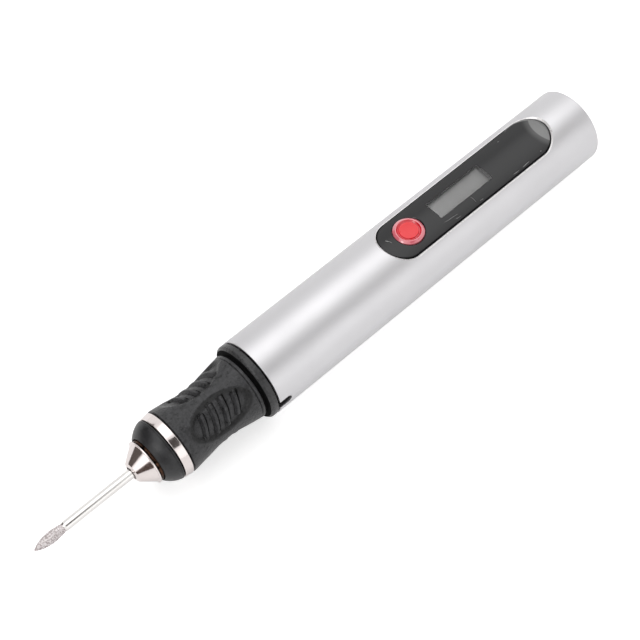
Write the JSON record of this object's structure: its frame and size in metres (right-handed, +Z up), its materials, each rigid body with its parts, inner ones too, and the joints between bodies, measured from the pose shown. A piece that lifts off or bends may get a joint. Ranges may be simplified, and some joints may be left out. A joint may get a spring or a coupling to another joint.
{
  "type": "engraving pen",
  "caption": "Cordless electric engraving pen with a tube body, panel with display and push button, waisted rubber grip, collet nut and diamond burr.",
  "frame": {"origin": "on the resting surface, under the middle of the pen's overall length", "axes": "+X along the pen from burr to rear cap, +Z up out of the panel, +Y across"},
  "size_m": [0.1686, 0.02, 0.02],
  "materials": {
    "satin_aluminium": "bead-blasted and clear anodised, satin",
    "gloss_black_lens": "back-printed acrylic, polished",
    "display_grey": "unlit segment display",
    "button_red": "translucent red, polished",
    "circuit_board": "solder-masked board",
    "zinc_steel": "plated steel",
    "black_plastic": "fine moulded texture",
    "cell_wrap": "shrink wrap",
    "nickel": "nickel strip",
    "grey_plastic": "moulded",
    "black_rubber": "fine matte moulded rubber",
    "chrome": "bright chrome plate",
    "satin_black_plastic": "smooth satin black",
    "brass": "turned",
    "ground_steel": "ground",
    "polished_steel": "polished",
    "diamond_grit": "nickel-bonded diamond grit",
    "ferrite": "sintered",
    "copper": "copper alloy",
    "laminate": "laminated steel",
    "red_lead": "wire insulation",
    "black_lead": "wire insulation"
  },
  "bodies": {
    "housing": {"body_tube": "satin_aluminium", "panel_lens": "gloss_black_lens", "display_module": "display_grey", "main_board": "circuit_board", "switch_base": "zinc_steel", "board_screw_front": "zinc_steel", "board_screw_rear": "zinc_steel", "battery_cell": "cell_wrap", "cell_tab_front": "nickel", "cell_tab_rear": "nickel", "battery_cradle": "grey_plastic", "rear_cap": "black_plastic", "charge_board": "circuit_board", "charge_socket_shell": "zinc_steel", "charge_socket_tongue": "black_plastic", "front_collar": "black_plastic", "rubber_grip": "black_rubber", "trim_ring": "chrome", "nose_cap": "satin_black_plastic", "bearing_retainer": "brass", "grip_core": "black_plastic", "front_bearing_outer": "ground_steel", "front_bearing_balls": "brass", "rear_bearing_outer": "ground_steel", "rear_bearing_balls": "brass", "motor_can": "zinc_steel", "motor_end_bell": "grey_plastic", "motor_magnet_upper": "ferrite", "motor_magnet_lower": "ferrite", "motor_brush_left": "copper", "motor_brush_right": "copper", "motor_lead_red": "red_lead", "motor_lead_black": "black_lead", "charge_lead_red": "red_lead", "charge_lead_black": "black_lead"},
    "spindle_unit": {"spindle": "ground_steel", "front_bearing_inner": "ground_steel", "rear_bearing_inner": "ground_steel", "shaft_coupling": "brass", "motor_shaft": "ground_steel", "motor_armature": "laminate", "motor_commutator": "copper"},
    "collet_unit": {"collet": "ground_steel"},
    "nut": {"collet_nut": "chrome"},
    "burr": {"burr_shank": "polished_steel", "burr_head": "diamond_grit"},
    "button": {"power_button": "button_red", "switch_plunger": "black_plastic"}
  },
  "joints": [
    {"name": "spindle_spin", "type": "hinge", "parent": "housing", "child": "spindle_unit", "pos_m": [-0.05, 0, 0.00998], "axis": [1, 0, 0], "continuous": true},
    {"name": "collet_travel", "type": "slide", "parent": "spindle_unit", "child": "collet_unit", "axis": [-1, 0, 0], "range_m": [0, 0.00075]},
    {"name": "nut_turn", "type": "hinge", "parent": "collet_unit", "child": "nut", "pos_m": [-0.055, 0, 0.00998], "axis": [-1, 0, 0], "range_deg": [0, 540]},
    {"name": "burr_pull", "type": "slide", "parent": "collet_unit", "child": "burr", "axis": [-1, 0, 0], "range_m": [0, 0.0175]},
    {"name": "button_press", "type": "slide", "parent": "housing", "child": "button", "axis": [0, 0, -1], "range_m": [0, 0.00025], "stiffness_N_per_m": 2500, "springref_m": -0.0002}
  ],
  "couplings": [
    {"joint": "nut_turn", "follows": "collet_travel", "rad_per_m": 12566}
  ]
}
